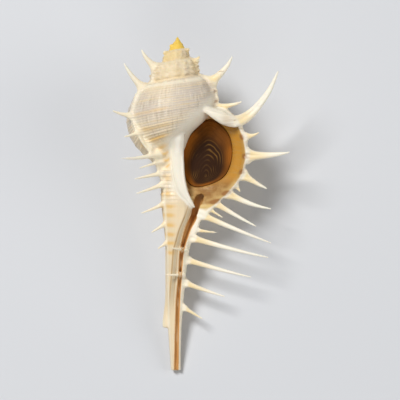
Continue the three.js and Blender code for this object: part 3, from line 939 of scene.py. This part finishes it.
shellColours = {
    "beige": tint(204, 191, 177),
    "cream": tint(234, 213, 176),
    "straw": tint(236, 206, 136),
    "orange": tint(230, 184, 98),
    "apex": tint(250, 210, 92),
    "white": tint(244, 233, 208),
    "porcelain": tint(242, 235, 217),
    "amber": tint(196, 138, 44),
    "gold": tint(186, 144, 74),
    "brown": tint(104, 62, 26),
    "tan": tint(178, 140, 88),
    "rust": tint(150, 100, 48),
    "grey": tint(158, 143, 114),
    "speckle": tint(186, 148, 90),
    "groove": tint(204, 150, 84),
    "honey": tint(148, 104, 46),
}
# where the markings lie, by level on the whorl or height on the canal
shellMarks = {
    "leftCords": (34.9, 42.4, 47.0, 51.5, 55.5, 59.5),
    "blotches": (41.0, 44.3, 47.4, 50.6, 53.4, 56.3, 59.2, 61.8, 64.6),
    "lipSpots": (30.2, 35.9, 40.5, 46.8, 49.3),
}


def paintShell():
    paint = Paint("murexShell")
    c = shellColours
    back, level, reach = paint.attribute("back"), paint.attribute("level"), paint.attribute("reach")
    varix, behind, face = paint.attribute("varix"), paint.attribute("behind"), paint.attribute("face")
    throat, band, glaze = paint.attribute("throat"), paint.attribute("band"), paint.attribute("glaze")
    slitMask, offSlit = paint.attribute("slit"), paint.attribute("offSlit")
    canalFrontMask = paint.attribute("canalFront")
    place = paint.place()
    broad = paint.speckle(place, 60.0, 2.0)
    mottle = paint.speckle(place, 230.0, 3.0)
    streaks = paint.speckle(paint.joinedPlace(back * 110.0, level * 0.12, 0.0), 1.0, 3.0)
    threads = paint.speckle(paint.joinedPlace(back * 4.0, level * 1.7, 4.0), 1.0, 2.0)
    rays = paint.speckle(paint.joinedPlace(behind * 0.12, level * 1.3, 9.0), 1.0, 3.0)
    # ground: greyish beige on the side of the aperture, cream over the back
    dorsal = back.sum("FRACT").near(0.17, 0.26)
    shoulder = level.between(23.0, 27.0) * (1.0 - level.between(33.0, 42.0))
    warm = dorsal * 0.85 + broad.between(0.42, 0.60) * 0.5 + 0.45 * (1.0 - shoulder)
    colour = paint.mix(c["beige"], c["cream"], warm.atMost(1.0))
    colour = paint.mix(colour, c["straw"], threads.between(0.50, 0.66) * (dorsal * 0.4 + 0.40))
    greyness = 0.40 - back.between(0.8, 1.1) * 0.3
    colour = paint.mix(colour, c["grey"], streaks.between(0.54, 0.68) * greyness)
    colour = paint.mix(colour, c["white"], streaks.between(0.44, 0.34) * 0.35)
    colour = paint.mix(colour, c["white"], level.near(22.6, 1.7) * 0.85)
    onCanal = level.between(46.0, 52.0)
    cords = (level * (2 * math.pi / relief["threadPitch"])).sin().between(-0.2, 0.9) * (1.0 - onCanal)
    colour = paint.mix(colour, c["white"], cords * 0.25)
    # tan blotches in front of the dorsal varix: partly painted shade beside the raised varix, partly tan
    # stain
    varixShadeAndStain = back.sum("FRACT").near(0.285, 0.045) * level.near(37.0, 14.0)
    colour = paint.mix(colour, c["tan"], varixShadeAndStain * mottle.between(0.38, 0.62) * 0.75)
    # straw cords that run into the spines
    onLeft = (back.sum("FRACT").near(0.68, 0.14) * 1.6).atMost(1.0)
    lower = 0.5 + 0.5 * level.between(42.0, 47.0)
    patchy = onLeft * broad.between(0.3, 0.5) * lower * 0.8 + 0.04
    for cordLevel in shellMarks["leftCords"]:
        cord = (level + (mottle - 0.5) * 1.5).near(cordLevel, 1.5)
        colour = paint.mix(colour, c["orange"], cord * patchy)
    # the canal: cream, with orange blotches down its left side, a grey strip and dark lines beside the slit
    colour = paint.mix(colour, c["cream"], onCanal * 0.8)
    for spotLevel in shellMarks["blotches"]:
        spot = (level + (mottle - 0.5) * 1.2).near(spotLevel, 1.1) * onLeft
        colour = paint.mix(colour, c["orange"], spot * onCanal * 0.75)
    besideSlit = canalFrontMask * (1.0 - level.between(74.0, 86.0))
    colour = paint.mix(colour, c["grey"], offSlit.near(-1.9, 1.4) * besideSlit * 0.6)
    colour = paint.mix(colour, c["tan"], offSlit.near(-2.6, 0.35) * besideSlit * 0.85)
    colour = paint.mix(colour, c["tan"], offSlit.near(-1.35, 0.25) * besideSlit * 0.6)
    colour = paint.mix(colour, c["white"], offSlit.between(0.0, 0.5) * canalFrontMask)
    # spire and apex
    colour = paint.mix(colour, c["cream"], back.between(0.85, 1.2) * 0.6)
    colour = paint.mix(colour, c["white"], back.between(0.85, 1.2) * broad.between(0.36, 0.58) * 0.7)
    colour = paint.mix(colour, c["straw"], back.between(1.3, 2.4) * (0.15 + mottle.between(0.4, 0.6) * 0.5))
    colour = paint.mix(colour, c["apex"], back.between(2.95, 3.6))
    # varices and spines
    colour = paint.mix(colour, c["white"], varix * 0.75 * (1.0 - back.between(1.6, 2.6)))
    onSpine = reach.between(0.6, 1.8)
    colour = paint.mix(colour, c["white"], onSpine)
    rear = (1.0 - face.between(-0.5, 0.3)) * (1.0 - back.between(0.06, 0.20))
    core = face.between(0.5, 0.9) * 0.5
    nearRoot = onSpine * (1.0 - reach.between(2.0, 10.0))
    colour = paint.mix(colour, c["straw"], nearRoot * (0.12 + 0.6 * rear + core))
    colour = paint.mix(colour, c["orange"], onSpine * (1.0 - reach.between(1.5, 8.0)) * rear * 0.45)
    colour = paint.mix(colour, c["porcelain"], reach.between(4.5, 12.0) * 0.85)
    # white lip margin
    margin = back.near(-0.01, 0.028) * (1.0 - onSpine) * (1.0 - level.between(56.0, 62.0))
    colour = paint.mix(colour, c["porcelain"], margin * 0.8)
    # the glaze and the smooth lip band, the throat and the slit
    colour = paint.mix(colour, c["porcelain"], glaze * 0.8)
    inner = paint.mix(c["white"], c["gold"], behind.between(-2.4, -0.4))
    inner = paint.mix(inner, c["amber"], behind.between(-0.4, 2.6))
    inner = paint.mix(inner, c["gold"], rays.between(0.48, 0.66) * 0.5)
    inner = paint.mix(inner, c["brown"], behind.between(4.5, 11.0) * 0.7)
    low = level.between(40.5, 45.0)
    speckled = paint.mix(c["honey"], c["speckle"], mottle.between(0.44, 0.64) * 0.8)
    speckled = paint.mix(speckled, c["rust"], mottle.between(0.48, 0.36) * 0.6)
    speckled = paint.mix(speckled, c["straw"], (1.0 - behind.between(-1.0, 3.0)) * 0.6)
    # amber just below the lid's lower edge: partly painted shade under the lid, partly the throat's own
    # amber
    speckled = paint.mix(c["amber"], speckled, level.between(40.0, 46.0))
    inner = paint.mix(inner, speckled, low * (1.0 - behind.between(6.0, 10.0)))
    colour = paint.mix(colour, inner, throat)
    for spotLevel in shellMarks["lipSpots"]:
        spot = (level.near(spotLevel, 1.2) * behind.near(-1.0, 3.2) * 2.5).atMost(1.0)
        colour = paint.mix(colour, c["rust"], spot * (throat * 0.5 + 0.45))
    colour = paint.mix(colour, c["porcelain"], band)
    slitColour = paint.mix(speckled, c["groove"], level.between(48.5, 54.0))
    colour = paint.mix(colour, slitColour, slitMask * (1.0 - band))
    shader = paint.shader
    paint.feed(shader.inputs["Base Color"], colour)
    gloss = (band + throat * (1.0 - low * 0.9) + glaze * 0.8).atMost(1.0)
    paint.feed(shader.inputs["Roughness"], 0.46 - 0.20 * gloss + 0.35 * throat * low + (mottle - 0.5) * 0.10)
    paint.feed(shader.inputs["Coat Weight"], gloss * 0.5)
    shader.inputs["Coat Roughness"].default_value = 0.15
    shader.inputs["Subsurface Weight"].default_value = 0.08
    shader.inputs["Subsurface Radius"].default_value = (1.0, 0.6, 0.35)
    shader.inputs["Subsurface Scale"].default_value = 0.0012
    # fine threads and growth lines
    height = (streaks * 0.5 + cords * 0.35 + mottle * 0.15) * (1.0 - gloss) * (1.0 - onSpine * 0.7)
    paint.raiseBy(height, strength=0.45, distance=0.0004)
    return paint.material


lidColours = {
    "dark": tint(50, 28, 13),
    "olive": tint(128, 92, 42),
    "rim": tint(150, 88, 24),
}


def paintLid():
    paint = Paint("hornyLid")
    c = lidColours
    ring = paint.attribute("ring")
    place = paint.place()
    mottle = paint.speckle(place, 350.0, 3.0)
    broad = paint.speckle(place, 120.0, 2.0)
    lines = ((ring + (mottle - 0.5) * 0.04 + (broad - 0.5) * 0.16) * 74.0).sin().between(0.2, 1.0)
    worn = ring.between(0.2, 0.5) * broad.between(0.40, 0.62) * 0.75
    colour = paint.mix(c["dark"], c["olive"], lines * worn)
    edge = (1.0 - ring.between(0.05, 0.42)) * (0.5 + broad.between(0.35, 0.6) * 0.5)
    colour = paint.mix(colour, c["rim"], edge)
    paint.feed(paint.shader.inputs["Base Color"], colour)
    paint.feed(paint.shader.inputs["Roughness"], 0.60 + (mottle - 0.5) * 0.15)
    paint.shader.inputs["Specular IOR Level"].default_value = 0.09
    paint.raiseBy(lines * 0.6 + mottle * 0.4, strength=0.4, distance=0.0003)
    return paint.material


shell.data.materials.clear()
shell.data.materials.append(paintShell())
lidPiece.data.materials.clear()
lidPiece.data.materials.append(paintLid())
print("murex: painted")

for piece, node in ((shell, "shell"), (lidPiece, "operculum")):
    piece.data.transform(laidDown)
    pick(piece)
    bpy.ops.object.shade_smooth()
    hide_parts(node)
    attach(piece, "root")
